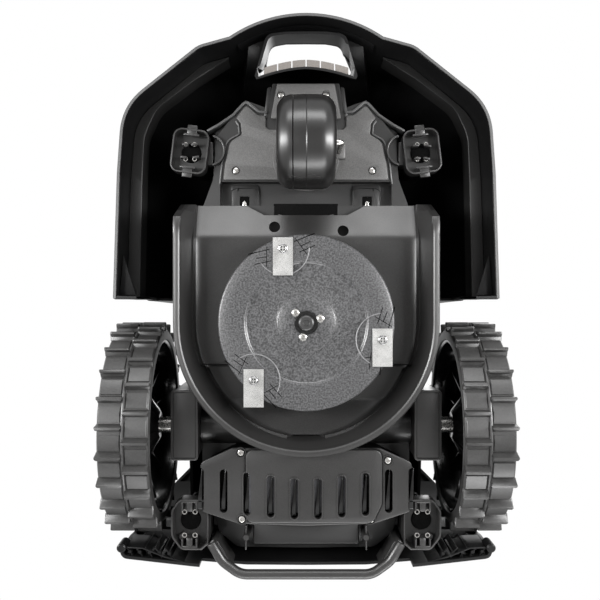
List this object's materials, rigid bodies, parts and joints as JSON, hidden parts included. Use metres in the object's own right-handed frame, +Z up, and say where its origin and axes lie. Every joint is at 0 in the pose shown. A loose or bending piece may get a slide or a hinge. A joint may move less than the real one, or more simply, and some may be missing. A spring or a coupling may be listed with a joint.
{
  "type": "robotic lawn mower",
  "caption": "Robotic lawn mower on two lugged drive wheels and a front caster, with a bladed disc under a guard and a floating cover.",
  "frame": {"origin": "centre of the bounding box at ground level, where the wheels stand", "axes": "+Z up from the ground, +Y to the rear along the mower's length, +X to the mower's left side as it drives"},
  "size_m": [0.384, 0.547, 0.252],
  "materials": {
    "body": "satin moulded, fine grain",
    "shell": "satin moulded",
    "plate": "satin moulded, fine grain",
    "tread": "moulded lugs with a soft sheen",
    "gloss": "smooth and glossy",
    "caster": "satin, barrel-polished",
    "disc": "grained, glass-filled",
    "steel": "fine machining",
    "board": "solder mask",
    "pack": "shrink sleeve",
    "signal": "satin red",
    "key": "soft touch"
  },
  "bodies": {
    "chassis": {"chassis_tub": "body", "chassis_lid": "body", "pod_plate": "plate", "nose_plate": "plate", "door_latch_left": "body", "door_latch_right": "body", "caster_bush": "steel", "main_board": "board", "cutter_guard": "body", "carriage_guide": "body", "vent_tray": "body", "battery_door": "body", "battery_pack": "pack", "rear_handle": "body", "gearbox_left": "body", "gearbox_right": "body", "drive_motor_left": "body", "drive_motor_right": "body", "cup_front_left": "body", "cup_front_right": "body", "cup_rear_left": "body", "cup_rear_right": "body", "console": "plate", "display": "gloss"},
    "wheel_left": {"tread_left": "tread", "rim_left": "gloss", "hub_cap_left": "gloss", "axle_left": "steel"},
    "wheel_right": {"tread_right": "tread", "rim_right": "gloss", "hub_cap_right": "gloss", "axle_right": "steel"},
    "caster_fork": {"caster_yoke": "plate", "caster_rod": "steel"},
    "caster_roller": {"caster_wheel": "caster", "caster_cap": "caster"},
    "cutter_carriage": {"cutter_motor": "steel"},
    "cutter_disc": {"blade_disc": "disc", "hub_nut": "body", "blade_screw_1": "steel", "blade_screw_2": "steel", "blade_screw_3": "steel"},
    "blade_a": {"blade_1": "steel"},
    "blade_b": {"blade_2": "steel"},
    "blade_c": {"blade_3": "steel"},
    "knob": {"height_knob": "signal"},
    "key_left": {"key_1": "key"},
    "key_middle": {"key_2": "key"},
    "key_right": {"key_3": "key"},
    "stems": {"stem_front_left": "body", "stem_front_right": "body", "stem_rear_left": "body", "stem_rear_right": "body"},
    "cover": {"cover_shell": "shell", "hatch_pin": "steel"},
    "lid": {"hatch": "shell"},
    "stop": {"stop_button": "signal"}
  },
  "joints": [
    {"name": "wheel_left_turn", "type": "hinge", "parent": "chassis", "child": "wheel_left", "pos_m": [-0.168, 0.1306, 0.106], "axis": [1, 0, 0], "continuous": true},
    {"name": "wheel_right_turn", "type": "hinge", "parent": "chassis", "child": "wheel_right", "pos_m": [0.168, 0.1306, 0.106], "axis": [1, 0, 0], "continuous": true},
    {"name": "caster_swivel", "type": "hinge", "parent": "chassis", "child": "caster_fork", "pos_m": [0, -0.143, 0.095], "axis": [0, 0, 1], "continuous": true},
    {"name": "caster_turn", "type": "hinge", "parent": "caster_fork", "child": "caster_roller", "pos_m": [0, -0.1493, 0.045], "axis": [1, 0, 0], "continuous": true},
    {"name": "cutter_height", "type": "slide", "parent": "chassis", "child": "cutter_carriage", "axis": [0, 0, 1], "range_m": [0, 0.03]},
    {"name": "disc_turn", "type": "hinge", "parent": "cutter_carriage", "child": "cutter_disc", "pos_m": [0, 0.0234, 0.036], "axis": [0, 0, 1], "continuous": true},
    {"name": "height_knob_turn", "type": "hinge", "parent": "chassis", "child": "knob", "pos_m": [0, 0.024, 0.222], "axis": [0, 0, 1], "range_deg": [0, 270]},
    {"name": "cover_bump", "type": "slide", "parent": "chassis", "child": "stems", "axis": [0, 1, 0], "range_m": [-0.004, 0.004], "stiffness_N_per_m": 4000},
    {"name": "cover_lift", "type": "slide", "parent": "stems", "child": "cover", "axis": [0, 0, 1], "range_m": [0, 0.006]},
    {"name": "hatch_open", "type": "hinge", "parent": "cover", "child": "lid", "pos_m": [0, 0.118, 0.243], "axis": [-1, 0, 0], "range_deg": [0, 75]},
    {"name": "stop_press", "type": "slide", "parent": "cover", "child": "stop", "axis": [0, 0, -1], "range_m": [0, 0.004], "stiffness_N_per_m": 800},
    {"name": "blade_a_swing", "type": "hinge", "parent": "cutter_disc", "child": "blade_a", "pos_m": [-0.02219, -0.04698, 0.035], "axis": [0, 0, 1], "continuous": true},
    {"name": "blade_b_swing", "type": "hinge", "parent": "cutter_disc", "child": "blade_b", "pos_m": [-0.04986, 0.07781, 0.035], "axis": [0, 0, 1], "continuous": true},
    {"name": "blade_c_swing", "type": "hinge", "parent": "cutter_disc", "child": "blade_c", "pos_m": [0.07205, 0.03937, 0.035], "axis": [0, 0, 1], "continuous": true},
    {"name": "key_left_press", "type": "slide", "parent": "chassis", "child": "key_left", "axis": [0, 0, -1], "range_m": [0, 0.002], "stiffness_N_per_m": 300},
    {"name": "key_middle_press", "type": "slide", "parent": "chassis", "child": "key_middle", "axis": [0, 0, -1], "range_m": [0, 0.002], "stiffness_N_per_m": 300},
    {"name": "key_right_press", "type": "slide", "parent": "chassis", "child": "key_right", "axis": [0, 0, -1], "range_m": [0, 0.002], "stiffness_N_per_m": 300}
  ],
  "couplings": [
    {"joint": "height_knob_turn", "follows": "cutter_height", "rad_per_m": 150}
  ]
}
